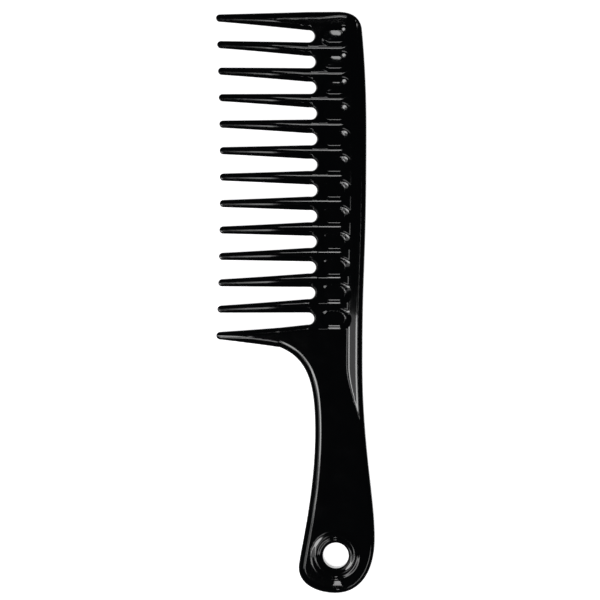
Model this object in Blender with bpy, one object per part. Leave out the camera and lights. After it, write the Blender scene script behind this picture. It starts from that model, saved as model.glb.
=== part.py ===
"""Wide tooth handle comb, one black moulding, modelled as its named portions.

Metres, +Z up. The comb lies flat: +Z is its thickness, +Y runs from the handle's
end towards the first tooth, and the teeth point to -X. The origin is below the
middle of the bounding box, on the surface the comb lies on. Front and back are
mirror images about the mid-plane. Inside the functions lengths are in millimetres.
"""

import math

import bmesh
import bpy
from mathutils import Vector
from mathutils.geometry import delaunay_2d_cdt

MM = 0.001

# Overall size
HALF_LENGTH = 120.0
BACK_X = 29.28
TOP_Y = 119.8

# Half thicknesses, measured from the mid-plane
CREST = 3.8
WEB = 2.35
TIP = 1.15

# Bevelled rim, narrower along the back, and the small rounding above the side wall
RIM_WIDTH = 2.9
RIM_WIDTH_BACK = 2.2
RIM_SLOPE = 0.24
RIM_FLAT = 0.7
RIM_CURVE = 0.12
CREASE = 0.25
CREASE_BACK = 0.9
EDGE_ROUND = 0.35
RIM_ROWS = (0.1, EDGE_ROUND, 1.5, RIM_WIDTH)
FLAT_ROW = 4.2

# The roll along the back and where the handle thickens
ROLL_FLAT = 1.8
ROLL_EASE = 0.16
ROLL_SLOPE = 0.42
ROLL_ROUND = 1.7
HANDLE_RISE_START = -26.0
HANDLE_RISE_END = -50.0

# Teeth
TOOTH_COUNT = 13
TIP_PITCH = 10.92
TIP_FIRST_Y = 117.4
TIP_MIDDLE_X = -31.35
TIP_ARC = 1.5
TIP_HALF_WIDTH = 1.5
TAPER_LENGTH = 28.0
TAPER_EASE = 8.0
LAST_TAPER_LENGTH = 16.0
LAST_TAPER_EASE = 4.0
FLANK = 2.84
FLANK_DROP = 1.17
GAP_END_FLANK = 1.35
KEEL = 0.75
KEEL_SLOPE = 0.62
KEEL_CURVE = 0.03
RIDGE_STEP = 0.24
RIDGE_END_X = 13.2
ROOT_X = 5.0

# Gaps between the teeth, with a pocket behind each one
GAP_PITCH = 10.573
GAP_FIRST_Y = 109.8
GAP_HALF_WIDTH = 2.45
GAP_END_X = 8.9
GAP_END_ARC = 1.15
POCKET_START_X = 14.2
POCKET_END_X = 18.0
POCKET_RADIUS = 2.45
POCKET_WALL = 2.9
POCKET_DEPTH = 0.8
POCKET_SKEW = 0.75
CROWNED_POCKETS = 3
CROWN_RISE = 0.163
CROWN_RADIUS = 3.05
CROWN_START_X = 15.9
CROWN_END_X = 17.1
CROWN_OFF_Y = -0.6

# Hanging eye
EYE_X = 16.8
EYE_Y = -104.3
EYE_RADIUS = 5.3
RING_RADIUS = 8.1
RING_INNER = 2.1
RING_OUTER = 2.5
RING_HEIGHT = 0.45
GATE_X = 17.5
GATE_Y = -116.0
GATE_RADIUS = 2.0
GATE_DEPTH = 0.3

# Where the portions of the moulding meet
LAST_TOOTH_X = -6.5
LAST_TOOTH_FLARE = 0.11
HANDLE_TOP_Y = -30.0
EYE_TOP_Y = -90.0
JOINT_GAP = 0.3

FULL_HEIGHT = CREST + RING_HEIGHT


def clear_scene():
    for obj in list(bpy.data.objects):
        bpy.data.objects.remove(obj, do_unlink=True)


def black_plastic():
    material = bpy.data.materials.new("black_plastic")
    material.use_nodes = True
    shader = material.node_tree.nodes["Principled BSDF"]
    shader.inputs["Base Color"].default_value = (0.008, 0.008, 0.009, 1.0)
    shader.inputs["Roughness"].default_value = 0.12
    shader.inputs["Metallic"].default_value = 0.0
    return material


def clamp(value, low=0.0, high=1.0):
    return max(low, min(high, value))


def mix(a, b, t):
    return a + (b - a) * t


def smooth(t):
    t = clamp(t)
    return t * t * (3.0 - 2.0 * t)


def quarter_round(t):
    """Height of a rounded edge, 0 at the edge and 1 where it meets the face."""
    t = clamp(t)
    return math.sqrt(1.0 - (1.0 - t) ** 2)


def soft_max(a, b, width):
    return 0.5 * (a + b + math.sqrt((a - b) ** 2 + width ** 2))


def bezier(p0, p1, p2, p3, count):
    """Points along a cubic curve, both ends included."""
    points = []
    for k in range(count + 1):
        t = k / count
        s = 1.0 - t
        a, b, c, d = s ** 3, 3 * s * s * t, 3 * s * t * t, t ** 3
        x = a * p0[0] + b * p1[0] + c * p2[0] + d * p3[0]
        y = a * p0[1] + b * p1[1] + c * p2[1] + d * p3[1]
        points.append((x, y))
    return points


def chain(*runs):
    """Join runs of points, each starting where the last one ended."""
    points = list(runs[0])
    for run in runs[1:]:
        points.extend(run[1:])
    return points


# The outline in natural runs, from the first tooth's top edge clockwise to the
# last tooth's lower edge.
def top_edge(count):
    return [(mix(ROOT_X, 17.6, k / count), TOP_Y + 0.02 * k / count) for k in range(count + 1)]


def top_corner(count):
    return bezier((17.6, TOP_Y + 0.02), (23.6, 119.8), (27.0, 117.0), (27.4, 112.4), count)


def back_upper(count):
    return bezier((27.4, 112.4), (28.9, 96.7), (BACK_X, 83.2), (BACK_X, 69.7), count)


def back_lower(count):
    return bezier((BACK_X, 69.7), (BACK_X, 15.8), (27.7, 15.5), (27.7, -23.9), count)


def handle_right(count):
    return bezier((27.7, -23.9), (27.7, -59.0), (32.85, -80.0), (32.85, -97.2), count)


def end_right(count):
    return bezier((32.85, -97.2), (32.85, -111.5), (26.6, -120.0), (16.4, -120.0), count)


def end_left(count):
    return bezier((16.4, -120.0), (8.0, -120.0), (1.4, -116.0), (1.4, -109.6), count)


def handle_left(count):
    return bezier((1.4, -109.6), (1.4, -104.5), (8.17, -80.0), (8.17, -52.8), count)


def crook(count):
    return bezier((8.17, -52.8), (8.17, -31.2), (4.6, -19.0), (-14.5, -16.43), count)


def last_tooth_lower_y(x):
    return mix(-16.43, -14.84, (x + 14.5) / (-29.4 + 14.5))


def outline(count=12):
    return chain(
        top_edge(2),
        top_corner(count),
        back_upper(count),
        back_lower(count),
        handle_right(count),
        end_right(count),
        end_left(count),
        handle_left(count),
        crook(2 * count),
    )


OUTLINE = outline()


def back_x(y):
    """X of the back edge at height y."""
    line = chain(back_upper(16), back_lower(16), handle_right(16))
    for (x0, y0), (x1, y1) in zip(line, line[1:]):
        if y1 <= y <= y0:
            return mix(x0, x1, (y0 - y) / (y0 - y1))
    return line[0][0] if y > line[0][1] else line[-1][0]


def distance(x, y, line):
    """Shortest distance from a point to a line of points."""
    best = 1e9
    for (x0, y0), (x1, y1) in zip(line, line[1:]):
        dx, dy = x1 - x0, y1 - y0
        t = clamp(((x - x0) * dx + (y - y0) * dy) / max(dx * dx + dy * dy, 1e-12))
        best = min(best, math.hypot(x - x0 - dx * t, y - y0 - dy * t))
    return best


def gap_y(j):
    return GAP_FIRST_Y - GAP_PITCH * j


def gap_end_x(j):
    return GAP_END_X - GAP_END_ARC * ((j - 5.3) / 5.5) ** 2


def rim_drop(edge, x):
    """How far the bevelled rim falls away, a given distance in from the edge."""
    side = smooth((x - 8.0) / 12.0)
    s = max(mix(RIM_WIDTH, RIM_WIDTH_BACK, side) - edge, 0.0)
    crease = mix(CREASE, CREASE_BACK, side)
    bevel = s * s / (2.0 * crease) if s < crease else s - crease / 2.0
    return RIM_SLOPE * bevel + RIM_CURVE * max(s - RIM_FLAT, 0.0) ** 2


def flank_drop(edge, width=FLANK):
    """How far a tooth's curved flank falls away toward its gap."""
    return FLANK_DROP * clamp(1.0 - edge / width) ** 2


def keel_drop(u):
    """Fall of a tooth's lower side: a gentle crown, then a crease and a steep flank."""
    past = max(u - KEEL, 0.0)
    return FLANK_DROP * (min(u, KEEL) / FLANK) ** 2 + KEEL_SLOPE * past + KEEL_CURVE * past ** 2


def pocket_drop(x, off_y, j):
    """Depth of a sink pocket; the first few have a crowned floor."""
    from_pocket = math.hypot(x - clamp(x, POCKET_START_X, POCKET_END_X), off_y) - POCKET_RADIUS
    drop = POCKET_DEPTH * (1.0 - smooth(clamp(from_pocket / POCKET_WALL) ** POCKET_SKEW))
    if j >= CROWNED_POCKETS:
        return drop
    from_crown = math.hypot(x - clamp(x, CROWN_START_X, CROWN_END_X), max(off_y - CROWN_OFF_Y, 0.0))
    rise = CROWN_RISE * max(1.0 - (from_crown / CROWN_RADIUS) ** 2, 0.0)
    return drop - rise * smooth((off_y + 2.3) / 1.7)


def roll_drop(s):
    """How far the roll falls away from the back's crest."""
    ease = s * s / (2.0 * ROLL_ROUND) if s < ROLL_ROUND else s - ROLL_ROUND / 2.0
    return ROLL_EASE * s + (ROLL_SLOPE - ROLL_EASE) * ease


def half_height(x, y):
    """Half the comb's thickness at a point of the spine, the handle or the eye."""
    rise = smooth((HANDLE_RISE_START - y) / (HANDLE_RISE_START - HANDLE_RISE_END))
    level = mix(WEB, CREST, rise)
    roll = CREST - roll_drop(max(back_x(y) - x - ROLL_FLAT, 0.0))
    height = min(soft_max(level, roll, 0.25), CREST)

    j = clamp(round((GAP_FIRST_Y - y) / GAP_PITCH), 0, TOOTH_COUNT - 2)
    off_y = y - gap_y(j)
    pocket = pocket_drop(x, off_y, j)
    if x > ROOT_X - 1.0 and y > gap_y(TOOTH_COUNT - 2) - GAP_PITCH / 2:
        beside_ridge = min(flank_drop(abs(off_y) - GAP_HALF_WIDTH), RIDGE_STEP)
        pocket = max(pocket, beside_ridge * (1.0 - smooth((x - RIDGE_END_X) / 2.0)))
    centre_x = gap_end_x(j) - GAP_HALF_WIDTH
    from_gap = math.hypot(max(x - centre_x, 0.0), off_y) - GAP_HALF_WIDTH
    from_gap -= LAST_TOOTH_FLARE * max(ROOT_X - x, 0.0)
    gap_side = flank_drop(from_gap, mix(FLANK, GAP_END_FLANK, smooth((x - centre_x) / 1.5)))
    if off_y > 0.0:
        keel = 1.0 - smooth((x - ROOT_X) / 2.6)
        gap_side = mix(gap_side, keel_drop(max(FLANK - from_gap, 0.0)), keel)
    height -= max(pocket, gap_side)

    from_eye = math.hypot(x - EYE_X, y - EYE_Y)
    reach = RING_OUTER if from_eye > RING_RADIUS else RING_INNER
    ring = clamp(abs(from_eye - RING_RADIUS) / reach)
    height += RING_HEIGHT * 0.5 * (1.0 + math.cos(math.pi * ring))
    gate = clamp(math.hypot(x - GATE_X, y - GATE_Y) / GATE_RADIUS)
    height -= GATE_DEPTH * (1.0 - gate ** 2) ** 2

    edge = distance(x, y, OUTLINE)
    height -= rim_drop(edge, x)
    edge = min(edge, from_gap, from_eye - EYE_RADIUS)
    return height - EDGE_ROUND * (1.0 - quarter_round(edge / EDGE_ROUND))


def inside(x, y, loop):
    hit = False
    for (x0, y0), (x1, y1) in zip(loop, loop[1:] + loop[:1]):
        if (y0 > y) != (y1 > y) and x < x0 + (y - y0) * (x1 - x0) / (y1 - y0):
            hit = not hit
    return hit


def rim_rows(line):
    """Rows of points that follow a run of the outline, one row at each rim depth."""
    points = []
    for (x0, y0), (x, y), (x1, y1) in zip(line, line[1:], line[2:]):
        length = math.hypot(x1 - x0, y1 - y0)
        nx, ny = (y1 - y0) / length, -(x1 - x0) / length
        for depth in RIM_ROWS + (FLAT_ROW,):
            points.append((x + nx * depth, y + ny * depth, 0.25))
    return points


def off_rim(candidates):
    """The candidates that lie well inside the rounded rim."""
    return [c for c in candidates if distance(c[0], c[1], OUTLINE) > FLAT_ROW + 0.7]


def circle(x, y, radius, count, start=0.0, sweep=2.0 * math.pi):
    points = []
    for k in range(count):
        angle = start + sweep * k / count
        points.append((x + radius * math.cos(angle), y + radius * math.sin(angle)))
    return points


def plate(name, loop, hole, candidates, spacing, material):
    """A closed body between +height and -height over an outline and its inner points."""
    rim = list(loop)
    points = rim + list(hole)
    for x, y, room in candidates:
        if not inside(x, y, loop):
            continue
        if hole and inside(x, y, hole):
            continue
        if distance(x, y, rim + rim[:1]) < 0.9 * min(room, spacing):
            continue
        if all(math.hypot(x - px, y - py) > room for px, py in points):
            points.append((x, y))
    count = len(rim)
    edges = [(k, (k + 1) % count) for k in range(count)]
    edges += [(count + k, count + (k + 1) % len(hole)) for k in range(len(hole))]
    coords = [Vector(p) for p in points]
    verts, _, faces, _, _, _ = delaunay_2d_cdt(coords, edges, [], 1, 1e-5)
    faces = [
        face
        for face in faces
        if not hole
        or not inside(sum(verts[v].x for v in face) / 3, sum(verts[v].y for v in face) / 3, hole)
    ]

    bm = bmesh.new()
    top = [bm.verts.new((v.x, v.y, half_height(v.x, v.y))) for v in verts]
    bottom = [bm.verts.new((v.x, v.y, -v_top.co.z)) for v, v_top in zip(verts, top)]
    sides = {}
    for face in faces:
        bm.faces.new([top[v] for v in face])
        bm.faces.new([bottom[v] for v in reversed(face)])
        for a, b in zip(face, face[1:] + face[:1]):
            if (b, a) in sides:
                del sides[(b, a)]
            else:
                sides[(a, b)] = True
    for a, b in sides:
        bm.faces.new([top[b], top[a], bottom[a], bottom[b]])
    for vert in list(bm.verts):
        if not vert.link_faces:
            bm.verts.remove(vert)
    bmesh.ops.triangulate(bm, faces=bm.faces[:])
    return finish(name, bm, material)


def finish(name, bm, material):
    """Set the body at its height, scale it to metres and link it to the scene."""
    bmesh.ops.recalc_face_normals(bm, faces=bm.faces)
    for vert in bm.verts:
        vert.co = (vert.co + Vector((0.0, 0.0, FULL_HEIGHT))) * MM
    mesh = bpy.data.meshes.new(name)
    bm.to_mesh(mesh)
    bm.free()
    mesh.materials.append(material)
    mesh.shade_smooth()
    mesh.set_sharp_from_angle(angle=math.radians(40.0))
    obj = bpy.data.objects.new(name, mesh)
    bpy.context.scene.collection.objects.link(obj)
    return obj


def tooth_tip(i):
    x = TIP_MIDDLE_X - TIP_ARC * ((i - 6) / 6) ** 2
    return x, TIP_FIRST_Y - TIP_PITCH * i


def tooth_root(i):
    """X of a tooth's root, and the Y of its lower and upper edges there."""
    if i == TOOTH_COUNT - 1:
        return LAST_TOOTH_X, -17.62, -10.2
    upper = TOP_Y if i == 0 else gap_y(i - 1) - GAP_HALF_WIDTH
    return ROOT_X, gap_y(i) + GAP_HALF_WIDTH, upper


def tooth_edges(i, x):
    """Y of a tooth's lower and upper edges at one X."""
    tip_x, tip_y = tooth_tip(i)
    root_x, low, high = tooth_root(i)
    t = clamp((x - tip_x) / (root_x - tip_x)) ** 1.1
    return mix(tip_y - TIP_HALF_WIDTH, low, t), mix(tip_y + TIP_HALF_WIDTH, high, t)


def crown_height(from_tip, last):
    """Half thickness along a tooth's crown: a steady taper that eases out."""
    length = LAST_TAPER_LENGTH if last else TAPER_LENGTH
    ease = LAST_TAPER_EASE if last else TAPER_EASE
    slope = (WEB - TIP) / (length - ease / 2.0)
    s = min(from_tip, length)
    eased = max(s - length + ease, 0.0)
    return TIP + slope * (s - eased ** 2 / (2.0 * ease))


def tooth_height(offset, half, ridge, rim_side):
    """Half thickness across a tooth: a curved crown, then the rounded edge.

    The first tooth's upper side and the last one's lower side carry the rim's
    bevel instead of the curved flank.
    """
    edge = half - abs(offset)
    drop = flank_drop(edge + FLANK - min(half, FLANK))
    if offset < 0.0:
        drop = keel_drop(max(abs(offset) - max(half - FLANK, 0.0), 0.0))
    if offset * rim_side > 0.0:
        drop = rim_drop(edge + max(RIM_WIDTH - half, 0.0), 0.0)
    rounding = min(EDGE_ROUND, 0.3 * ridge) * (1.0 - quarter_round(edge / EDGE_ROUND))
    return max(ridge - drop, 0.35 * ridge) - rounding


def tooth(i, material):
    """One tooth: curved sections from its tip to its root, joined one to the next."""
    tip_x, _ = tooth_tip(i)
    root_x, _, _ = tooth_root(i)
    end_x = root_x - JOINT_GAP
    rim_side = {0: 1.0, TOOTH_COUNT - 1: -1.0}.get(i, 0.0)
    near_tip = [0.0, 0.35, 0.9, 1.6]
    along = [mix(tip_x + 4.5, end_x, k / 4) for k in range(5)]
    stations = [tip_x + step for step in near_tip] + along
    bm = bmesh.new()
    rings = []
    for x in stations:
        low, high = tooth_edges(i, x)
        middle, half = (low + high) / 2, (high - low) / 2
        dome = quarter_round((x - tip_x) / TIP_HALF_WIDTH)
        half *= mix(0.4, 1.0, dome)
        ridge = crown_height(x - tip_x, i == TOOTH_COUNT - 1) * mix(0.4, 1.0, dome)
        steps = [half, half - 0.1, half - EDGE_ROUND, 0.45 * (half - EDGE_ROUND), 0.0]
        across = [-step for step in steps[:-1]] + list(reversed(steps))
        heights = [tooth_height(u, half, ridge, rim_side) for u in across]
        upper = [(x, middle + u, z) for u, z in zip(across, heights)]
        section = upper + [(x, y, -z) for x, y, z in reversed(upper)]
        rings.append([bm.verts.new(p) for p in section])
    for ring, following in zip(rings, rings[1:]):
        for k in range(len(ring)):
            n = (k + 1) % len(ring)
            bm.faces.new([ring[k], ring[n], following[n], following[k]])
    bm.faces.new(rings[0])
    bm.faces.new(rings[-1])
    bmesh.ops.triangulate(bm, faces=bm.faces[:])
    return finish("tooth_%02d" % (i + 1), bm, material)


def cut_line(y):
    """The outline's X values where it crosses one height, from left to right."""
    hits = []
    for (x0, y0), (x1, y1) in zip(OUTLINE, OUTLINE[1:]):
        if (y0 > y) != (y1 > y):
            hits.append(mix(x0, x1, (y0 - y) / (y0 - y1)))
    return min(hits), max(hits)


def straight(x0, y0, x1, y1, count):
    return [(mix(x0, x1, k / count), mix(y0, y1, k / count)) for k in range(count + 1)]


def section_steps(x0, x1, y):
    """Points along a cut across the moulding, closer together at its rims."""
    offsets = (0.0,) + RIM_ROWS
    left = [x0 + step for step in offsets]
    right = [x1 - step for step in reversed(offsets)]
    middle = straight(left[-1], y, right[0], y, 3)
    return [(x, y) for x in left] + middle[1:-1] + [(x, y) for x in right]


def spine_loop():
    """Outline of the spine: back, teeth stubs with the gap ends, last tooth's root."""
    right = spine_right()
    bottom_left, bottom_right = cut_line(HANDLE_TOP_Y + JOINT_GAP)
    loop = [p for p in right if p[1] > HANDLE_TOP_Y + 1.0]
    loop.append((bottom_right, HANDLE_TOP_Y + JOINT_GAP))
    cut = section_steps(bottom_left, bottom_right, HANDLE_TOP_Y + JOINT_GAP)
    loop += list(reversed(cut))[1:]
    for x, y in crook(24):
        if y > HANDLE_TOP_Y + JOINT_GAP + 0.4 and x > LAST_TOOTH_X + 0.4:
            loop.append((x, y))
    low_y = crook_y(LAST_TOOTH_X)
    high_y = last_tooth_high_y(LAST_TOOTH_X)
    for k in range(7):
        bend = 0.5 - 0.5 * math.cos(math.pi * k / 6)
        loop.append((LAST_TOOTH_X, mix(low_y, high_y, bend)))
    loop += [(x, last_tooth_high_y(x)) for x in (-3.6, -0.7, 2.2)]
    for j in reversed(range(TOOTH_COUNT - 1)):
        centre_x = gap_end_x(j) - GAP_HALF_WIDTH
        loop.append((ROOT_X, gap_y(j) - GAP_HALF_WIDTH))
        for k in range(9):
            angle = math.radians(-80 + 20 * k)
            x = centre_x + GAP_HALF_WIDTH * math.cos(angle)
            loop.append((x, gap_y(j) + GAP_HALF_WIDTH * math.sin(angle)))
        loop.append((ROOT_X, gap_y(j) + GAP_HALF_WIDTH))
        top = TOP_Y if j == 0 else gap_y(j - 1) - GAP_HALF_WIDTH
        for bend in (0.06, 0.25, 0.5, 0.75, 0.94):
            loop.append((ROOT_X, mix(gap_y(j) + GAP_HALF_WIDTH, top, bend)))
    return loop


def last_tooth_high_y(x):
    """Upper edge of the last tooth's root, which widens the last gap a little."""
    return gap_y(TOOTH_COUNT - 2) - GAP_HALF_WIDTH - LAST_TOOTH_FLARE * (ROOT_X - x)


def crook_y(x):
    for (x0, y0), (x1, y1) in zip(crook(24), crook(24)[1:]):
        if x1 <= x <= x0:
            return mix(y0, y1, (x0 - x) / (x0 - x1))
    return -16.0


def spine_right():
    return chain(top_edge(3), top_corner(8), back_upper(12), back_lower(26))


def spine(material):
    candidates = []
    for j in range(TOOTH_COUNT - 1):
        centre_x = gap_end_x(j) - GAP_HALF_WIDTH
        for k in range(9):
            angle = math.radians(-80 + 20 * k)
            for radius in (GAP_HALF_WIDTH + 0.35, GAP_HALF_WIDTH + 1.4):
                x = centre_x + radius * math.cos(angle)
                candidates.append((x, gap_y(j) + radius * math.sin(angle), 0.2))
        for radius, count in ((2.1, 4), (3.1, 6), (4.1, 6), (5.1, 6)):
            for k in range(count + 1):
                angle = -math.pi / 2 + math.pi * k / count
                x = POCKET_END_X + radius * math.cos(angle)
                candidates.append((x, gap_y(j) + radius * math.sin(angle), 0.5))
            for x in (ROOT_X + 1.2, 8.2, 10.4, 12.6, 14.9):
                for side in (1, -1):
                    candidates.append((x, gap_y(j) + side * radius, 0.7))
        candidates.append((14.5, gap_y(j), 1.0))
    for depth in (0.35, 1.2, 2.0, 2.84):
        candidates += [(x, last_tooth_high_y(x) - depth, 0.25) for x in (-3.6, -0.7, 2.2)]
    for row in range(60):
        for column in range(20):
            x = -8.0 + 2.6 * column + 1.3 * (row % 2)
            candidates.append((x, -31.0 + 2.6 * row, 2.0))
    rim = rim_rows(chain(spine_right(), handle_right(20)))
    rim += rim_rows(chain(handle_left(16), crook(24)))
    candidates = rim + off_rim(candidates)
    return plate("spine", spine_loop(), [], candidates, 0.4, material)


def handle(material):
    top_y, low_y = HANDLE_TOP_Y, EYE_TOP_Y + JOINT_GAP
    top_left, top_right = cut_line(top_y)
    low_left, low_right = cut_line(low_y)
    right = [p for p in handle_right(20) if low_y + 1.0 < p[1] < top_y - 1.0]
    left = chain(handle_left(16), crook(24))
    left = [p for p in left if low_y + 1.0 < p[1] < top_y - 1.0]
    loop = section_steps(top_left, top_right, top_y)
    loop += right
    loop += list(reversed(section_steps(low_left, low_right, low_y)))
    loop += left
    candidates = []
    for row in range(20):
        for column in range(8):
            candidates.append((4.0 + 4.4 * column + 2.2 * (row % 2), -90.0 + 4.4 * row, 3.2))
    rim = rim_rows(chain(back_lower(26), handle_right(20), end_right(10)))
    rim += rim_rows(chain(end_left(10), handle_left(16), crook(24)))
    return plate("handle", loop, [], rim + off_rim(candidates), 0.4, material)


def hang_eye(material):
    left, right = cut_line(EYE_TOP_Y)
    loop = section_steps(left, right, EYE_TOP_Y)
    loop += [p for p in handle_right(20) if p[1] < EYE_TOP_Y - 1.0]
    loop += chain(end_right(10), end_left(10), handle_left(16))[1:]
    loop = [p for k, p in enumerate(loop) if k < 14 or p[1] < EYE_TOP_Y - 1.0]
    hole = circle(EYE_X, EYE_Y, EYE_RADIUS, 28)
    rings = []
    for radius in (5.65, 6.3, 7.2, 8.1, 9.2, 10.6):
        rings += [(x, y, 0.2) for x, y in circle(EYE_X, EYE_Y, radius, 28)]
    rim = rim_rows(chain(handle_right(20), end_right(10), end_left(10), handle_left(16)))
    grid = []
    for row in range(10):
        for column in range(12):
            grid.append((0.0 + 3.2 * column + 1.6 * (row % 2), -120.0 + 3.2 * row, 2.2))
    return plate("hang_eye", loop, hole, rings + rim + off_rim(grid), 0.4, material)


def build():
    clear_scene()
    material = black_plastic()
    for i in range(TOOTH_COUNT):
        tooth(i, material)
    spine(material)
    handle(material)
    hang_eye(material)


build()
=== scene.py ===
"""Looks of the wide tooth comb: a glossy black moulding on a pale lit table.

Every visible piece is made here from one description of the comb's half
thickness, so neighbouring pieces meet with the same section and shading.
The comb's shape is worked out in millimetres, with the middle of its
thickness at zero; the lights and the camera are placed in metres.
"""

import math

import bpy
import numpy as np
from mathutils import Matrix, Vector
from mathutils.geometry import delaunay_2d_cdt
from mathutils.kdtree import KDTree


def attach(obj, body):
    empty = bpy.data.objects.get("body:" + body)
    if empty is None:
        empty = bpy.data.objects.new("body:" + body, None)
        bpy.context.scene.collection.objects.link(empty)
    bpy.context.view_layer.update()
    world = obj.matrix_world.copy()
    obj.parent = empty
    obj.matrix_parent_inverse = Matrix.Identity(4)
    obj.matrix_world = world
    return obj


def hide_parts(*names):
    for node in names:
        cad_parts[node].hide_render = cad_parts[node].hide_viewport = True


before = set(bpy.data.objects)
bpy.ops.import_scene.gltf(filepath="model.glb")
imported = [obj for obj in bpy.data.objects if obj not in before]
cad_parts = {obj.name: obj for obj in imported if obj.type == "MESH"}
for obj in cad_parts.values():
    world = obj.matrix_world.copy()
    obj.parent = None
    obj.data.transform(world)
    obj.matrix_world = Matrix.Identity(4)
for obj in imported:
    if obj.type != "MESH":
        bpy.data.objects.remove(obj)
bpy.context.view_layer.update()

MM = 0.001

# Edges of the outline, and the cuts between the spine, the handle and the eye
TOP_Y = 119.8
TOP_TILT = 0.02
TOP_START_X = -6.0
BACK_X = 29.28
HANDLE_TOP_Y = -30.0
EYE_TOP_Y = -90.0

# Half thickness of the back's crest and the handle, of the web, and of a tooth's tip
CREST = 3.8
WEB = 2.35
TIP = 1.15

# The bevelled rim, which turns narrower and softer toward the back
RIM_WIDTH = 2.9
RIM_WIDTH_BACK = 2.2
RIM_CHANGE_X = 8.0
RIM_CHANGE_LENGTH = 12.0
RIM_SLOPE = 0.24
RIM_FLAT = 0.7
RIM_CURVE = 0.12
CREASE = 0.25
CREASE_BACK = 0.9
EDGE_ROUND = 0.35

# The roll from the crest of the back to the web, which fades into the handle
ROLL_FLAT = 1.8
ROLL_EASE = 0.16
ROLL_SLOPE = 0.42
ROLL_ROUND = 1.7
HANDLE_RISE_START = -26.0
HANDLE_RISE_END = -50.0

# The teeth, whose tips lie on a shallow arc
TOOTH_COUNT = 13
LAST_TOOTH = TOOTH_COUNT - 1
MIDDLE_TOOTH = LAST_TOOTH / 2
TIP_PITCH = 10.92
TIP_FIRST_Y = 117.4
TIP_MIDDLE_X = -31.35
TIP_ARC = 1.5
TIP_HALF_WIDTH = 1.5
TIP_ROUND = 0.5
TIP_END_SHARE = 0.5
TIP_LEAST_ROUND = 0.05
ROOT_X = 5.0
ROOT_BLEND = 4.0
SPREAD_POWER = 1.1
TAPER_LENGTH = 28.0
TAPER_EASE = 8.0
LAST_TAPER_LENGTH = 16.0
LAST_TAPER_EASE = 4.0
LAST_TOOTH_X = -6.5
LAST_TOOTH_FLARE = 0.11
LEAST_SIDE_SHARE = 0.35
MOST_EDGE_SHARE = 0.3

# A tooth's section: a rounded flank on its upper side, and on its lower one a
# gentle crown up to a crease, then a steep flank
FLANK = 2.84
FLANK_DROP = 1.17
KEEL = 0.75
KEEL_SLOPE = 0.62
KEEL_CURVE = 0.03
KEEL_FADE = 2.6

# The gaps between the teeth, the deepest ones in the middle
LAST_GAP = TOOTH_COUNT - 2
GAP_PITCH = 10.573
GAP_FIRST_Y = 109.8
GAP_HALF_WIDTH = 2.45
GAP_END_X = 8.9
GAP_END_ARC = 1.15
GAP_DEEPEST = 5.3
GAP_END_FLANK = 1.35
GAP_END_FADE = 1.5

# The ridge that carries each tooth on into the web
RIDGE_STEP = 0.24
RIDGE_END_X = 13.2
RIDGE_FADE = 2.0

# The pockets behind the gaps; the first ones have a crown in their floor
POCKET_START_X = 14.2
POCKET_END_X = 18.0
POCKET_RADIUS = 2.45
POCKET_WALL = 2.9
POCKET_DEPTH = 0.8
POCKET_SKEW = 0.75
CROWNED_POCKETS = 3
CROWN_RISE = 0.163
CROWN_RADIUS = 3.05
CROWN_START_X = 15.9
CROWN_END_X = 17.1
CROWN_OFF_Y = -0.6
CROWN_FADE_Y = -2.3
CROWN_FADE = 1.7

# The hanging eye with its raised ring, and the gate's scar below it
EYE_X = 16.8
EYE_Y = -104.3
EYE_RADIUS = 5.3
RING_RADIUS = 8.1
RING_INNER = 2.1
RING_OUTER = 2.5
RING_HEIGHT = 0.45
GATE_X = 17.5
GATE_Y = -115.8
GATE_HALF_WIDTH = 2.1
GATE_HALF_LENGTH = 1.0
GATE_TOP_SHARE = 0.55
GATE_SLOPE = 0.223
GATE_END_FADE = 0.5
GATE_SIDE_FADE = 0.3
MIDDLE_Z = CREST + RING_HEIGHT

# Areas that get a grid of points (low x, high x, low y, high y), and its step
SPINE_AREA = (-8.0, 30.0, HANDLE_TOP_Y - 1.0, 121.0)
POCKET_AREA = (9.5, 29.0, -16.0, 117.0)
HANDLE_AREA = (0.0, 34.0, EYE_TOP_Y - 1.0, HANDLE_TOP_Y + 1.0)
EYE_AREA = (0.0, 34.0, -121.0, EYE_TOP_Y + 1.0)
GATE_AREA = (GATE_X - 2.6, GATE_X + 2.6, GATE_Y - 1.9, GATE_Y + 1.6)
GRID_SPINE = 0.55
GRID_POCKETS = 0.32
GRID_HANDLE = 0.6
GRID_EYE = 0.5
GRID_GATE = 0.14

# Distances in from an edge at which rows of points follow it
EDGE_ROWS = (0.02, 0.06, 0.12, 0.2, 0.35, 0.6, 0.9, 1.2)
RIM_ROWS = EDGE_ROWS[:5] + (
    0.8, 1.25, 1.5, 1.75, 2.0, 2.22, 2.45, 2.65, 2.78, 2.9, 3.1, 3.4,
)
EYE_ROWS_END = 5.2
EYE_ROWS_STEP = 0.2

# Rows beside the crease of the back's crest, and beside a tooth's crease, the
# latter as shares of the tooth's half width
CREST_ROWS = (-0.12, -0.02, 0.02)
CREASE_ROWS = (-0.02, -0.003, 0.003)

# How far apart the points of a row are, and how far the crest's rows reach
RIM_STEP = 0.7
GAP_STEP = 0.45
LONG_STEP = 0.6
CREST_TOP_Y = 112.0
CREST_LOW_Y = -49.0

# How many points there are on a curve, a gap's end and the eye, across a tooth
# and a cut, and along a tip, a tooth and the last tooth's flare
CURVE_COUNT = 120
CROOK_COUNT = 200
GAP_END_COUNT = 33
EYE_COUNT = 96
ACROSS_COUNT = 33
CUT_COUNT = 26
TIP_COUNT = 16
TOOTH_ROW_COUNT = 64
FLARE_COUNT = 18

# How far points stay from a cut, from a tooth's root and from other rows
CUT_MARGIN = 0.25
SPINE_CUT_MARGIN = 0.2
ROOT_MARGIN = 0.1
ROW_MARGIN = 0.3
CREST_MARGIN = 0.2
GRID_MARGIN = 0.2


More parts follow.
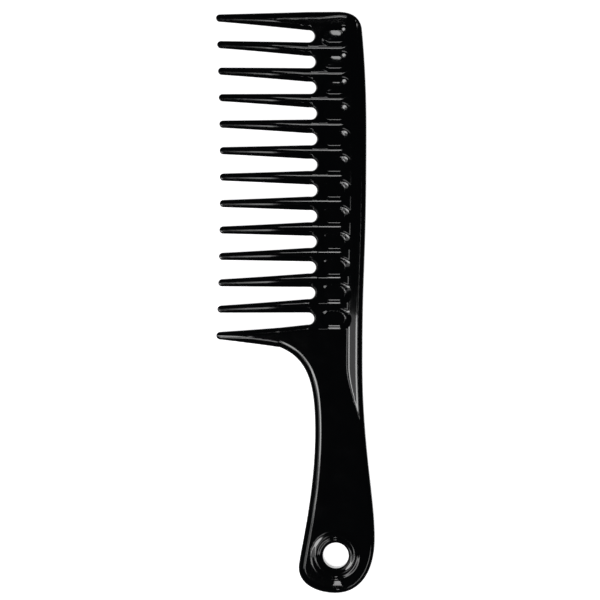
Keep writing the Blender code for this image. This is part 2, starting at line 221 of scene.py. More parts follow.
def mix(a, b, t):
    return a + (b - a) * t


def smooth(t):
    t = np.clip(t, 0.0, 1.0)
    return t * t * (3.0 - 2.0 * t)


def quarter_round(t):
    t = np.clip(t, 0.0, 1.0)
    return np.sqrt(np.maximum(1.0 - (1.0 - t) ** 2, 0.0))


def soft_min(a, b, power=8.0):
    """The smaller of two positive amounts, rounded where they cross."""
    a, b = np.maximum(a, 1e-6), np.maximum(b, 1e-6)
    return (a ** -power + b ** -power) ** (-1.0 / power)


def bezier(p0, p1, p2, p3, count):
    t = np.linspace(0.0, 1.0, count + 1)[:, None]
    s = 1.0 - t
    p0, p1, p2, p3 = map(np.array, (p0, p1, p2, p3))
    return s ** 3 * p0 + 3 * s * s * t * p1 + 3 * s * t * t * p2 + t ** 3 * p3


def straight(x0, y0, x1, y1, count):
    t = np.linspace(0.0, 1.0, count + 1)
    return np.stack([mix(x0, x1, t), mix(y0, y1, t)], 1)


def level(x, y):
    """A row of points at one height."""
    return np.stack([x, np.full(len(x), y)], 1)


def chain(*runs):
    """One line from runs that each start where the last one ends."""
    return np.vstack([runs[0]] + [run[1:] for run in runs[1:]])


# The outline as curves, clockwise from the upper edge round to the last tooth
CORNER_START = (17.6, TOP_Y + TOP_TILT)
CORNER = (CORNER_START, (23.6, TOP_Y), (27.0, 117.0), (27.4, 112.4))
BACK_UPPER = (CORNER[3], (28.9, 96.7), (BACK_X, 83.2), (BACK_X, 69.7))
BACK_LOWER = (BACK_UPPER[3], (BACK_X, 15.8), (27.7, 15.5), (27.7, -23.9))
HANDLE_RIGHT = (BACK_LOWER[3], (27.7, -59.0), (32.85, -80.0), (32.85, -97.2))
END_RIGHT = (HANDLE_RIGHT[3], (32.85, -111.5), (26.6, -120.0), (16.4, -120.0))
END_LEFT = (END_RIGHT[3], (8.0, -120.0), (1.4, -116.0), (1.4, -109.6))
HANDLE_LEFT = (END_LEFT[3], (1.4, -104.5), (8.17, -80.0), (8.17, -52.8))
CROOK = (HANDLE_LEFT[3], (8.17, -31.2), (4.6, -19.0), (-14.5, -16.43))


def resample(line, step):
    """The same line with points evenly spaced, about one step apart."""
    lengths = np.hypot(*np.diff(line, axis=0).T)
    along = np.concatenate([[0.0], np.cumsum(lengths)])
    count = max(1, int(round(along[-1] / step)))
    at = np.linspace(0.0, along[-1], count + 1)
    return np.stack([np.interp(at, along, line[:, 0]), np.interp(at, along, line[:, 1])], 1)


def curves(*parts):
    """Several of the outline's curves as one finely divided line."""
    return chain(*[bezier(*part, CURVE_COUNT) for part in parts])


TOP_EDGE = straight(TOP_START_X, TOP_Y - TOP_TILT, *CORNER_START, 20)
BACK_EDGE = curves(BACK_UPPER, BACK_LOWER, HANDLE_RIGHT)
RIGHT_SIDE = chain(TOP_EDGE, curves(CORNER), BACK_EDGE, curves(END_RIGHT))
LEFT_SIDE = curves(END_LEFT, HANDLE_LEFT, CROOK)
OUTLINE = chain(RIGHT_SIDE, LEFT_SIDE)
RIM_LINE_RIGHT = resample(RIGHT_SIDE, RIM_STEP)
RIM_LINE_LEFT = resample(LEFT_SIDE, RIM_STEP)


def line_distance(points, line):
    """Shortest distance from each point to a finely divided line."""
    tree = KDTree(len(line))
    for k, (x, y) in enumerate(line):
        tree.insert((x, y, 0.0), k)
    tree.balance()
    nearest = np.array([tree.find((x, y, 0.0))[1] for x, y in points], int)
    best = np.full(len(points), 1e9)
    for first in (np.maximum(nearest - 1, 0), np.minimum(nearest, len(line) - 2)):
        start, along = line[first], line[first + 1] - line[first]
        length_squared = np.maximum((along ** 2).sum(1), 1e-12)
        t = np.clip(((points - start) * along).sum(1) / length_squared, 0.0, 1.0)
        best = np.minimum(best, np.linalg.norm(points - start - along * t[:, None], axis=1))
    return best


def back_x(y):
    """Where the back edge runs at a height."""
    return np.interp(-y, -BACK_EDGE[:, 1], BACK_EDGE[:, 0])


def gap_y(j):
    return GAP_FIRST_Y - GAP_PITCH * j


def gap_end_x(j):
    return GAP_END_X - GAP_END_ARC * ((j - GAP_DEEPEST) / (LAST_GAP / 2)) ** 2


def gap_centre_x(j):
    """The centre of the half circle that ends a gap."""
    return gap_end_x(j) - GAP_HALF_WIDTH


def nearest_gap(y):
    return np.clip(np.round((GAP_FIRST_Y - y) / GAP_PITCH), 0, LAST_GAP)


def half_height(points):
    """Half the comb's thickness at points of the spine, handle and eye."""
    x, y = points[:, 0], points[:, 1]
    gap = nearest_gap(y)
    off_y = y - gap_y(gap)
    from_gap = np.hypot(np.maximum(x - gap_centre_x(gap), 0.0), off_y) - GAP_HALF_WIDTH
    from_gap = from_gap - LAST_TOOTH_FLARE * np.maximum(ROOT_X - x, 0.0)
    from_eye = np.hypot(x - EYE_X, y - EYE_Y)
    edge = line_distance(points, OUTLINE)
    hollow = np.maximum(pocket_drop(x, off_y, gap), ridge_side_drop(x, y, off_y))
    hollow = np.maximum(hollow, gap_side_drop(x, off_y, gap, from_gap))
    relief = ring_rise(from_eye) - gate_drop(x, y)
    height = face_height(x, y) - hollow + relief - rim_drop(edge, x)
    return height - edge_drop(np.minimum(np.minimum(edge, from_gap), from_eye - EYE_RADIUS))


def face_height(x, y):
    """The plain face: the handle's level, and the roll of the back to the web."""
    rise = (HANDLE_RISE_START - y) / (HANDLE_RISE_START - HANDLE_RISE_END)
    level_drop = (CREST - WEB) * (1.0 - smooth(rise))
    s = np.maximum(back_x(y) - x - ROLL_FLAT, 0.0)
    ease = np.where(s < ROLL_ROUND, s * s / (2 * ROLL_ROUND), s - ROLL_ROUND / 2)
    roll_drop = ROLL_EASE * s + (ROLL_SLOPE - ROLL_EASE) * ease
    return CREST - soft_min(level_drop, roll_drop)


def pocket_drop(x, off_y, gap):
    """Depth of the pocket behind a gap, less the crown in its floor."""
    off_x = x - np.clip(x, POCKET_START_X, POCKET_END_X)
    from_pocket = np.hypot(off_x, off_y) - POCKET_RADIUS
    wall = np.clip(from_pocket / POCKET_WALL, 0.0, 1.0) ** POCKET_SKEW
    crown_x = x - np.clip(x, CROWN_START_X, CROWN_END_X)
    crown = np.hypot(crown_x, np.maximum(off_y - CROWN_OFF_Y, 0.0)) / CROWN_RADIUS
    crown = CROWN_RISE * np.maximum(1.0 - crown ** 2, 0.0)
    crown = crown * smooth((off_y - CROWN_FADE_Y) / CROWN_FADE)
    return POCKET_DEPTH * (1.0 - smooth(wall)) - np.where(gap < CROWNED_POCKETS, crown, 0.0)


def ridge_side_drop(x, y, off_y):
    """The low step that leaves each tooth's ridge standing on the web."""
    drop = np.minimum(flank_drop(np.abs(off_y) - GAP_HALF_WIDTH), RIDGE_STEP)
    drop = drop * (1.0 - smooth((x - RIDGE_END_X) / RIDGE_FADE))
    on_web = (x > ROOT_X - 1.0) & (y > gap_y(LAST_GAP) - GAP_PITCH / 2)
    return np.where(on_web, drop, 0.0)


def gap_side_drop(x, off_y, gap, from_gap):
    """The fall toward a gap: the teeth's flanks, narrower round the gap's end."""
    to_end = smooth((x - gap_centre_x(gap)) / GAP_END_FADE)
    drop = flank_drop(from_gap, mix(FLANK, GAP_END_FLANK, to_end))
    keel = np.where(off_y > 0.0, 1.0 - smooth((x - ROOT_X) / KEEL_FADE), 0.0)
    return mix(drop, keel_drop(np.maximum(FLANK - from_gap, 0.0)), keel)


def ring_rise(from_eye):
    """The raised ring round the hanging hole."""
    reach = np.where(from_eye > RING_RADIUS, RING_OUTER, RING_INNER)
    across = np.clip(np.abs(from_eye - RING_RADIUS) / reach, 0.0, 1.0)
    return RING_HEIGHT * 0.5 * (1.0 + np.cos(math.pi * across))


def rim_drop(edge, x):
    """How far the bevelled rim falls away, a given distance in from the edge."""
    side = smooth((x - RIM_CHANGE_X) / RIM_CHANGE_LENGTH)
    s = np.maximum(mix(RIM_WIDTH, RIM_WIDTH_BACK, side) - edge, 0.0)
    crease = mix(CREASE, CREASE_BACK, side)
    bevel = np.where(s < crease, s * s / (2 * crease), s - crease / 2)
    return RIM_SLOPE * bevel + RIM_CURVE * np.maximum(s - RIM_FLAT, 0.0) ** 2


def gate_drop(x, y):
    """The sloping scar where the moulding gate was trimmed off."""
    length = 2 * GATE_HALF_LENGTH
    down = GATE_Y + GATE_HALF_LENGTH - y
    wedge = GATE_SLOPE * np.clip(down, 0.0, length)
    wedge = wedge * (1.0 - smooth((down - length) / GATE_END_FADE))
    width = GATE_HALF_WIDTH * mix(GATE_TOP_SHARE, 1.0, np.clip(down / length, 0.0, 1.0))
    past_side = np.abs(x - GATE_X) - width + GATE_SIDE_FADE / 2
    return wedge * (1.0 - smooth(past_side / GATE_SIDE_FADE))


def flank_drop(edge, width=FLANK):
    """How far a tooth's rounded flank falls away toward its gap."""
    return FLANK_DROP * np.clip(1.0 - edge / width, 0.0, 1.0) ** 2


def keel_drop(u):
    """Fall of a tooth's lower side: a gentle crown, then a crease and a steep flank."""
    past = np.maximum(u - KEEL, 0.0)
    gentle = FLANK_DROP * (np.minimum(u, KEEL) / FLANK) ** 2
    return gentle + KEEL_SLOPE * past + KEEL_CURVE * past ** 2


def edge_drop(edge):
    """The small rounding where a face turns down into the side wall."""
    return EDGE_ROUND * (1.0 - quarter_round(edge / EDGE_ROUND))


def slope_normals(points, height_of, step=0.004):
    """Surface normals of the upper face, from the height's slopes."""
    dx = np.array([step, 0.0])
    dy = np.array([0.0, step])
    hx = (height_of(points + dx) - height_of(points - dx)) / (2 * step)
    hy = (height_of(points + dy) - height_of(points - dy)) / (2 * step)
    normals = np.stack([-hx, -hy, np.ones(len(points))], 1)
    return normals / np.linalg.norm(normals, axis=1)[:, None]


def add_piece(name, verts, faces, normals, material):
    """Make a mesh object from millimetre points and ride it on the comb.

    Faces touching both the upper and the lower half are side walls; they
    keep their own flat normal, the others take the given smooth one.
    """
    mesh = bpy.data.meshes.new(name)
    verts = np.asarray(verts, float)
    coords = (verts + [0.0, 0.0, MIDDLE_Z]) * MM
    mesh.from_pydata(coords.tolist(), [], [tuple(int(v) for v in face) for face in faces])
    mesh.update()
    mesh.shade_smooth()
    mesh.materials.append(material)
    loops = []
    for polygon in mesh.polygons:
        wall = len({verts[v][2] > 0 for v in polygon.vertices}) == 2
        for v in polygon.vertices:
            loops.append(tuple(polygon.normal) if wall else tuple(normals[v]))
    mesh.normals_split_custom_set(loops)
    obj = bpy.data.objects.new(name, mesh)
    bpy.context.scene.collection.objects.link(obj)
    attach(obj, "root")
    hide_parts(name.replace("_look", ""))
    return obj


def inside(points, loop):
    """Which points lie inside a closed loop."""
    x, y = points[:, 0], points[:, 1]
    hit = np.zeros(len(points), bool)
    for (x0, y0), (x1, y1) in zip(loop, np.roll(loop, -1, axis=0)):
        if y0 == y1:
            continue
        cross = ((y0 > y) != (y1 > y)) & (x < x0 + (y - y0) * (x1 - x0) / (y1 - y0))
        hit ^= cross
    return hit


def in_area(points, area, margin):
    """Which points lie inside an area grown by a margin."""
    x, y = points[:, 0], points[:, 1]
    x0, x1, y0, y1 = area
    return (x > x0 - margin) & (x < x1 + margin) & (y > y0 - margin) & (y < y1 + margin)


def hex_grid(area, step):
    """Points over an area, every second row shifted by half a step."""
    x0, x1, y0, y1 = area
    row_step = step * 0.87
    rows = []
    for k, y in enumerate(np.arange(y0, y1, row_step)):
        rows.append(level(np.arange(x0 + (k % 2) * step / 2, x1, step), y))
    return np.vstack(rows)


def inset_rows(line, depths):
    """Rows of points inside a line at each depth, dropped where they crowd a corner."""
    d = np.gradient(line, axis=0)
    d /= np.linalg.norm(d, axis=1)[:, None]
    normals = np.stack([d[:, 1], -d[:, 0]], 1)
    rows = []
    for depth in depths:
        row = line + normals * depth
        rows.append(row[line_distance(row, OUTLINE) > 0.98 * depth])
    return np.vstack(rows)


def rim_rows():
    """Rows of points along the rims of both sides."""
    return [inset_rows(line, RIM_ROWS) for line in (RIM_LINE_RIGHT, RIM_LINE_LEFT)]


def inside_rim(points, margin=ROW_MARGIN):
    """The points that lie further in than the rim's rows."""
    return points[line_distance(points, OUTLINE) > RIM_ROWS[-1] + margin]


def crest_rows(y0, y1):
    """Rows of points along the crease where the back starts its roll."""
    y = np.arange(y0, y1, LONG_STEP)
    return [np.stack([back_x(y) - ROLL_FLAT + side, y], 1) for side in CREST_ROWS]


def off_crest(points):
    """How far points lie from that crease."""
    return np.abs(back_x(points[:, 1]) - ROLL_FLAT - points[:, 0])


def plate(name, loop, hole, inner, material):
    """A closed body between +height and -height over a flat outline."""
    keep = inside(inner, loop)
    if len(hole):
        keep &= ~inside(inner, hole)
    inner = inner[keep]
    inner = inner[line_distance(inner, chain(loop, loop[:1])) > 0.02]
    points = np.vstack([loop, hole, inner])
    n, m = len(loop), len(hole)
    edges = [(k, (k + 1) % n) for k in range(n)]
    edges += [(n + k, n + (k + 1) % m) for k in range(m)]
    verts, _, faces, _, _, _ = delaunay_2d_cdt([Vector(p) for p in points], edges, [], 1, 1e-6)
    flat = np.array([(v.x, v.y) for v in verts])
    faces = np.array([f for f in faces if len(f) == 3])
    if m:
        faces = faces[~inside(flat[faces].mean(1), hole)]
    z = half_height(flat)
    normals = slope_normals(flat, half_height)
    count = len(flat)
    top = np.column_stack([flat, z])
    bottom = np.column_stack([flat, -z])
    down = normals * [1.0, 1.0, -1.0]
    all_faces = [tuple(f) for f in faces] + [tuple(f[::-1] + count) for f in faces]
    # An edge that only one triangle uses lies on the border and gets a side wall
    directed = dict.fromkeys((int(f[k]), int(f[(k + 1) % 3])) for f in faces for k in range(3))
    for a, b in directed:
        if (b, a) not in directed:
            all_faces.append((b, a, a + count, b + count))
    return add_piece(name, np.vstack([top, bottom]), all_faces, np.vstack([normals, down]), material)


def skin(name, rows, normals, material):
    """A closed body from rows of upper-face points mirrored below the middle."""
    n, m = rows.shape[:2]
    mirror = np.array([1.0, 1.0, -1.0])
    verts = np.vstack([rows.reshape(-1, 3), (rows * mirror).reshape(-1, 3)])
    shade = np.vstack([normals, normals * mirror])
    faces = []
    low = n * m
    for r in range(n - 1):
        for k in range(m - 1):
            a, b, c, d = r * m + k, r * m + k + 1, (r + 1) * m + k + 1, (r + 1) * m + k
            faces.append((a, d, c, b))
            faces.append((low + a, low + b, low + c, low + d))
    border = [r * m for r in range(n)] + [(n - 1) * m + k for k in range(1, m)]
    border += [r * m + m - 1 for r in reversed(range(n - 1))] + list(reversed(range(1, m - 1)))
    for a, b in zip(border, border[1:] + border[:1]):
        faces.append((b, a, low + a, low + b))
    return add_piece(name, verts, faces, shade, material)


def tooth_tip(i):
    tip_x = TIP_MIDDLE_X - TIP_ARC * ((i - MIDDLE_TOOTH) / MIDDLE_TOOTH) ** 2
    return tip_x, TIP_FIRST_Y - TIP_PITCH * i


def tooth_root(i):
    """Where a tooth meets the spine: the cut's x, and its lower and upper end."""
    if i == LAST_TOOTH:
        return LAST_TOOTH_X, crook_y(LAST_TOOTH_X), last_tooth_high_y(LAST_TOOTH_X)
    upper = TOP_Y if i == 0 else gap_y(i - 1) - GAP_HALF_WIDTH
    return ROOT_X, gap_y(i) + GAP_HALF_WIDTH, upper


def last_tooth_high_y(x):
    """The last tooth's flared upper edge, beyond the other teeth's roots."""
    return gap_y(LAST_GAP) - GAP_HALF_WIDTH - LAST_TOOTH_FLARE * (ROOT_X - x)


def crook_y(x):
    """The outline's height under the last tooth."""
    line = bezier(*CROOK, CROOK_COUNT)[::-1]
    return float(np.interp(x, line[:, 0], line[:, 1]))


ACROSS = np.sin(np.linspace(-math.pi / 2, math.pi / 2, ACROSS_COUNT))


def root_points(i):
    """Points of the spine's edge along a tooth's root."""
    x, low, high = tooth_root(i)
    y = mix(low, high, (ACROSS + 1.0) / 2.0)
    return np.stack([np.full(len(y), x), y], 1)


def crown_height(from_tip, last):
    """Half thickness along a tooth's crown: a steady taper that eases out."""
    length = LAST_TAPER_LENGTH if last else TAPER_LENGTH
    ease = LAST_TAPER_EASE if last else TAPER_EASE
    slope = (WEB - TIP) / (length - ease / 2)
    s = np.minimum(from_tip, length)
    eased = np.maximum(s - length + ease, 0.0)
    return TIP + slope * (s - eased ** 2 / (2 * ease))


def tooth_section(half, ridge, offset, rim_side):
    """Half height across a tooth: a curved crown, then the rounded edge.

    The first tooth's upper side and the last one's lower side carry the rim's
    bevel instead of the curved flank.
    """
    edge = half - np.abs(offset)
    crown = np.minimum(half, FLANK)
    drop = flank_drop(edge + FLANK - crown)
    past_crown = np.maximum(np.abs(offset) - half + crown, 0.0)
    drop = np.where(offset < 0.0, keel_drop(past_crown), drop)
    bevel = rim_drop(edge + np.maximum(RIM_WIDTH - half, 0.0), np.zeros(len(offset)))
    drop = np.where(offset * rim_side > 0.0, bevel, drop)
    rounding = np.minimum(EDGE_ROUND, MOST_EDGE_SHARE * ridge)
    rounding = rounding * (1.0 - quarter_round(edge / EDGE_ROUND))
    return np.maximum(ridge - drop, LEAST_SIDE_SHARE * ridge) - rounding


def tooth_span(i, x):
    """Lower and upper edge of a tooth's taper, before the tip is rounded."""
    tip_x, tip_y = tooth_tip(i)
    root_x, low, high = tooth_root(i)
    t = np.clip((x - tip_x) / (root_x - tip_x), 0.0, 1.0) ** SPREAD_POWER
    return mix(tip_y - TIP_HALF_WIDTH, low, t), mix(tip_y + TIP_HALF_WIDTH, high, t)


def tooth_height(i, points):
    """Half height of a tooth at points of its upper face."""
    x, y = points[:, 0], points[:, 1]
    from_tip = x - tooth_tip(i)[0]
    root_x = tooth_root(i)[0]
    rim_side = {0: 1.0, LAST_TOOTH: -1.0}.get(i, 0.0)
    lo, hi = tooth_span(i, x)
    half = (hi - lo) / 2
    round_tip = np.maximum(quarter_round(from_tip / TIP_HALF_WIDTH), TIP_LEAST_ROUND)
    offset = np.clip((y - (lo + hi) / 2) / round_tip, -half, half)
    z = tooth_section(half, crown_height(from_tip, i == LAST_TOOTH), offset, rim_side)
    z = z * mix(TIP_END_SHARE, 1.0, quarter_round(from_tip / TIP_ROUND))
    z_root = half_height(np.stack([np.full(len(y), root_x), y], 1))
    return mix(z, z_root, smooth((x - root_x + ROOT_BLEND) / ROOT_BLEND))


def tooth(i, material):
    """One tapering tooth with rounded flanks, from its round tip to its root."""
    tip_x = tooth_tip(i)[0]
    root_x = tooth_root(i)[0]
    near = TIP_HALF_WIDTH * (1.0 - np.cos(np.linspace(0.0, math.pi / 2, TIP_COUNT)[1:]))
    far = np.linspace(tip_x + TIP_HALF_WIDTH, root_x, TOOTH_ROW_COUNT)
    rows = []
    for x in np.concatenate([tip_x + near, far[1:]]):
        lo, hi = tooth_span(i, x)
        half = (hi - lo) / 2
        round_tip = float(quarter_round((x - tip_x) / TIP_HALF_WIDTH))
        crease = -(max(half - FLANK, 0.0) + KEEL) / half
        across = np.sort(np.concatenate([ACROSS, crease + np.array(CREASE_ROWS)]))
        y = (lo + hi) / 2 + across * half * round_tip
        rows.append(np.stack([np.full(len(y), x), y], 1))
    flat = np.vstack(rows)
    upper = np.column_stack([flat, tooth_height(i, flat)])
    normals = slope_normals(flat, lambda points: tooth_height(i, points), 0.001)
    name = "tooth_%02d_look" % (i + 1)
    return skin(name, upper.reshape(len(rows), len(rows[0]), 3), normals, material)


def cut_xs(y):
    """Where the outline crosses one height, left and right."""
    a, b = OUTLINE[:-1], OUTLINE[1:]
    crossing = (a[:, 1] > y) != (b[:, 1] > y)
    a, b = a[crossing], b[crossing]
    x = mix(a[:, 0], b[:, 0], (a[:, 1] - y) / (a[:, 1] - b[:, 1]))
    return x.min(), x.max()


def cut_points(y):
    """Points from left to right across a cut, closer together at the rims."""
    x0, x1 = cut_xs(y)
    rows = np.array((0.0,) + RIM_ROWS)
    middle = np.linspace(x0 + RIM_ROWS[-1], x1 - RIM_ROWS[-1], CUT_COUNT)[1:-1]
    return level(np.concatenate([x0 + rows, middle, (x1 - rows)[::-1]]), y)


def gap_arc(j, radius):
    """Half a circle round the end of a gap, from its lower side to its upper one."""
    angle = np.radians(np.linspace(-90, 90, GAP_END_COUNT))
    x = gap_centre_x(j) + radius * np.cos(angle)
    return np.stack([x, gap_y(j) + radius * np.sin(angle)], 1)


def gap_rows(j):
    """Rows of points round a gap's end and along both of its sides."""
    rows = []
    x = np.arange(ROOT_X + ROW_MARGIN, gap_centre_x(j), GAP_STEP)
    for depth in EDGE_ROWS:
        radius = GAP_HALF_WIDTH + depth
        rows.append(gap_arc(j, radius))
        rows += [level(x, gap_y(j) + side * radius) for side in (1, -1)]
    return rows


def spine_loop():
    """The spine's edge: back, cut, crook, last tooth's flare, then the gaps."""
    low = HANDLE_TOP_Y + SPINE_CUT_MARGIN
    right = RIM_LINE_RIGHT[RIM_LINE_RIGHT[:, 0] > ROOT_X + ROOT_MARGIN]
    left = RIM_LINE_LEFT[RIM_LINE_LEFT[:, 0] > LAST_TOOTH_X + SPINE_CUT_MARGIN]
    flare_x = np.linspace(LAST_TOOTH_X, ROOT_X, FLARE_COUNT)[1:]
    flare = np.stack([flare_x, last_tooth_high_y(flare_x)], 1)
    runs = [right[right[:, 1] > low], cut_points(HANDLE_TOP_Y)[::-1], left[left[:, 1] > low]]
    runs += [root_points(LAST_TOOTH), flare]
    for j in reversed(range(TOOTH_COUNT - 1)):
        runs += [gap_arc(j, GAP_HALF_WIDTH), root_points(j)]
    return np.vstack(runs)


def spine_grid():
    """Points over the spine, finer over the pockets, and clear of every row."""
    plain = hex_grid(SPINE_AREA, GRID_SPINE)
    plain = plain[~in_area(plain, POCKET_AREA, GRID_MARGIN)]
    grid = inside_rim(np.vstack([plain, hex_grid(POCKET_AREA, GRID_POCKETS)]))
    gap = nearest_gap(grid[:, 1])
    past_end = np.maximum(grid[:, 0] - gap_centre_x(gap), 0.0)
    from_gap = np.hypot(past_end, grid[:, 1] - gap_y(gap)) - GAP_HALF_WIDTH
    grid = grid[from_gap > EDGE_ROWS[-1] + ROW_MARGIN]
    below_gaps = grid[:, 1] < last_tooth_high_y(ROOT_X) - EDGE_ROWS[-1] - CUT_MARGIN
    grid = grid[(grid[:, 0] > ROOT_X + CUT_MARGIN) | below_gaps]
    return grid[off_crest(grid) > CREST_MARGIN]


def spine(material):
    """The back bar: ends of the gaps, ridges, pockets, and the last tooth's crook."""
    inner = rim_rows()
    for j in range(TOOTH_COUNT - 1):
        inner += gap_rows(j)
    x = np.arange(LAST_TOOTH_X + ROW_MARGIN, ROOT_X, LONG_STEP)
    inner += [np.stack([x, last_tooth_high_y(x) - depth], 1) for depth in EDGE_ROWS]
    inner += crest_rows(HANDLE_TOP_Y + ROW_MARGIN, CREST_TOP_Y)
    inner.append(spine_grid())
    return plate("spine_look", spine_loop(), np.zeros((0, 2)), np.vstack(inner), material)


def handle(material):
    """The waisted grip between the spine and the eye."""
    low, high = EYE_TOP_Y + CUT_MARGIN, HANDLE_TOP_Y - CUT_MARGIN
    right, left = [
        line[(line[:, 1] > low) & (line[:, 1] < high)] for line in (RIM_LINE_RIGHT, RIM_LINE_LEFT)
    ]
    loop = np.vstack([cut_points(HANDLE_TOP_Y), right, cut_points(EYE_TOP_Y)[::-1], left])
    grid = inside_rim(hex_grid(HANDLE_AREA, GRID_HANDLE), margin=0.4)
    grid = grid[(off_crest(grid) > ROW_MARGIN) | (grid[:, 1] < CREST_LOW_Y)]
    inner = rim_rows() + crest_rows(CREST_LOW_Y, HANDLE_TOP_Y) + [grid]
    return plate("handle_look", loop, np.zeros((0, 2)), np.vstack(inner), material)


def hang_eye(material):
    """The handle's end with its hole; a fine grid follows the gate's scar."""
    right, left = [
        line[line[:, 1] < EYE_TOP_Y - CUT_MARGIN] for line in (RIM_LINE_RIGHT, RIM_LINE_LEFT)
    ]
    loop = np.vstack([cut_points(EYE_TOP_Y), right, left[1:]])
    angle = np.linspace(0.0, 2 * math.pi, EYE_COUNT, endpoint=False)
    ring = np.stack([np.cos(angle), np.sin(angle)], 1)
    centre = np.array([EYE_X, EYE_Y])
    depths = [*EDGE_ROWS[:-1], *np.arange(EDGE_ROWS[-1], EYE_ROWS_END, EYE_ROWS_STEP)]
    inner = [inside_rim(centre + ring * (EYE_RADIUS + depth), margin=0.2) for depth in depths]
    grid = inside_rim(hex_grid(EYE_AREA, GRID_EYE))
    from_eye = np.hypot(grid[:, 0] - EYE_X, grid[:, 1] - EYE_Y)
    inner += rim_rows() + [grid[from_eye > EYE_RADIUS + EYE_ROWS_END + 0.1]]
    inner = [row[~in_area(row, GATE_AREA, margin=0.05)] for row in inner]
    scar = hex_grid(GATE_AREA, GRID_GATE)
    inner.append(scar[line_distance(scar, OUTLINE) > 0.4])
    return plate("hang_eye_look", loop, centre + ring * EYE_RADIUS, np.vstack(inner), material)


def node(tree, kind, place, inputs=None):
    """A shader node with values on its inputs."""
    made = tree.nodes.new(kind)
    made.location = place
    for socket, value in (inputs or {}).items():
        made.inputs[socket].default_value = value
    return made


def black_plastic():
    """Glossy black moulded plastic: faint moulding ripple, fine handling marks."""
    material = bpy.data.materials.new("black_plastic_look")
    material.use_nodes = True
    tree = material.node_tree
    shader = tree.nodes["Principled BSDF"]
    shader.inputs["Base Color"].default_value = (0.0009, 0.0009, 0.0011, 1.0)
    shader.inputs["IOR"].default_value = 1.5
    coords = node(tree, "ShaderNodeTexCoord", (-1200, 0))
    ripple = node(tree, "ShaderNodeTexNoise", (-900, -200), {"Scale": 90.0, "Detail": 2.0})
    smudge = node(tree, "ShaderNodeTexNoise", (-900, 200), {"Scale": 160.0, "Detail": 5.0})
    rough_range = {"From Min": 0.35, "From Max": 0.7, "To Min": 0.055, "To Max": 0.1}
    rough = node(tree, "ShaderNodeMapRange", (-600, 200), rough_range)
    bump = node(tree, "ShaderNodeBump", (-400, -200), {"Strength": 0.12, "Distance": 0.0002})
    tree.links.new(coords.outputs["Object"], ripple.inputs["Vector"])
    tree.links.new(coords.outputs["Object"], smudge.inputs["Vector"])
    tree.links.new(smudge.outputs["Fac"], rough.inputs["Value"])
    tree.links.new(rough.outputs["Result"], shader.inputs["Roughness"])
    tree.links.new(ripple.outputs["Fac"], bump.inputs["Height"])
    tree.links.new(bump.outputs["Normal"], shader.inputs["Normal"])
    return material


def table():
    """The plain white table that the comb lies on."""
    half = 3.0
    corners = [(-half, -half, 0), (half, -half, 0), (half, half, 0), (-half, half, 0)]
    mesh = bpy.data.meshes.new("table")
    mesh.from_pydata(corners, [], [(0, 1, 2, 3)])
    obj = bpy.data.objects.new("table", mesh)
    material = bpy.data.materials.new("white_table")
    material.use_nodes = True
    shader = material.node_tree.nodes["Principled BSDF"]
    shader.inputs["Base Color"].default_value = (0.9, 0.9, 0.9, 1.0)
    shader.inputs["Roughness"].default_value = 0.9
    shader.inputs["Specular IOR Level"].default_value = 0.0
    shader.inputs["Emission Color"].default_value = (1.0, 1.0, 1.0, 1.0)
    shader.inputs["Emission Strength"].default_value = 1.0
    mesh.materials.append(material)
    bpy.context.scene.collection.objects.link(obj)


def studio():
    """The dim room that the comb's faces mirror where no softbox does."""
    world = bpy.data.worlds.new("studio")
    world.use_nodes = True
    background = world.node_tree.nodes["Background"]
    background.inputs["Color"].default_value = (0.022, 0.026, 0.03, 1.0)
    background.inputs["Strength"].default_value = 1.0
    bpy.context.scene.world = world


def softbox(name, place, size, radiance, turn=0.0, shape="RECTANGLE"):
    """A lamp panel lying level above the table and facing down.

    Its place is its centre, its size the width and length before the turn in
    degrees, and its radiance the brightness that the plastic mirrors.
    """
    data = bpy.data.lights.new(name, "AREA")
    data.shape = shape
    data.size, data.size_y = size
    data.energy = radiance * math.pi * data.size * data.size_y
    obj = bpy.data.objects.new(name, data)
    obj.location = place
    obj.rotation_euler = (0.0, 0.0, math.radians(turn))
    obj.visible_camera = False
    bpy.context.scene.collection.objects.link(obj)


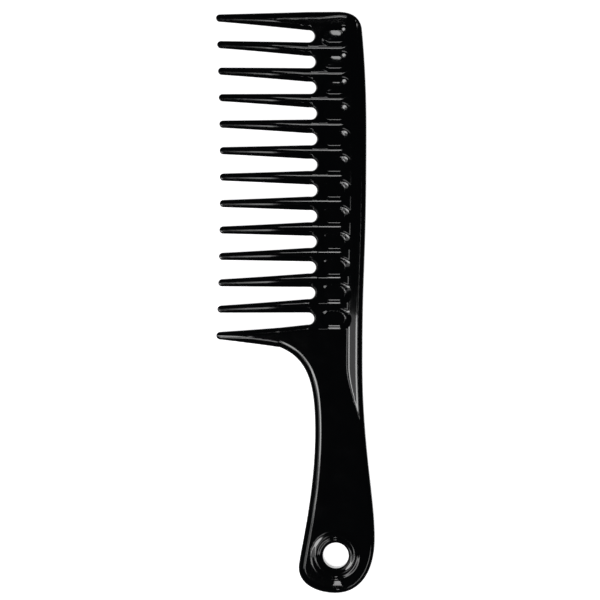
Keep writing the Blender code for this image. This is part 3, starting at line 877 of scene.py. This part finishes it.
def softboxes():
    """Each one lies where some slope of the comb mirrors it toward the camera."""
    softbox("left_softbox", (-0.1035, -0.048, 0.22), (0.057, 0.068), 10.0)
    softbox("left_fill", (-0.126, -0.1145, 0.22), (0.028, 0.061), 2.0)
    softbox("left_outer_fill", (-0.1745, -0.048, 0.22), (0.081, 0.068), 1.3)
    softbox("crook_softbox", (-0.059, -0.148, 0.22), (0.074, 0.020), 4.5)
    softbox("lower_left_softbox", (-0.0855, -0.106, 0.22), (0.020, 0.074), 9.0, 43.3)
    softbox("lower_softbox", (-0.1375, -0.110, 0.8), (0.033, 0.300), 3.0)
    softbox("lower_outer_softbox", (-0.1315, -0.090, 0.805), (0.067, 0.220), 1.9)
    softbox("upper_softbox", (-0.0325, 0.5075, 0.8), (0.125, 0.115), 4.0)
    softbox("end_softbox", (0.0092, -0.243, 0.22), (0.0088, 0.024), 11.0)
    softbox("right_softbox", (0.100, -0.203, 0.22), (0.036, 0.140), 4.5, -32.0)
    softbox("corner_softbox", (0.0372, 0.1238, 0.038), (0.010, 0.004), 3.0, -45.0)
    softbox("top_softbox", (0.010, 0.151, 0.22), (0.052, 0.030), 6.0, -20.0, "ELLIPSE")


def camera():
    """A long lens looking almost straight down, with the comb filling the frame."""
    distance = 1.3
    view_width = 0.2479
    centre = Vector((0.00183, 0.00116, MIDDLE_Z * MM))
    away = Vector((0.05, 0.04, 1.0)).normalized()
    right = Vector((0.0, 1.0, 0.0)).cross(away).normalized()
    up = away.cross(right)
    data = bpy.data.cameras.new("camera")
    data.sensor_width = 36.0
    data.lens = data.sensor_width * distance / view_width
    obj = bpy.data.objects.new("camera", data)
    obj.matrix_world = Matrix((right, up, away)).transposed().to_4x4()
    obj.location = centre + away * distance
    bpy.context.scene.collection.objects.link(obj)
    bpy.context.scene.camera = obj
    bpy.context.scene.view_settings.view_transform = "Standard"


plastic = black_plastic()
for index in range(TOOTH_COUNT):
    tooth(index, plastic)
spine(plastic)
handle(plastic)
hang_eye(plastic)
table()
studio()
softboxes()
camera()
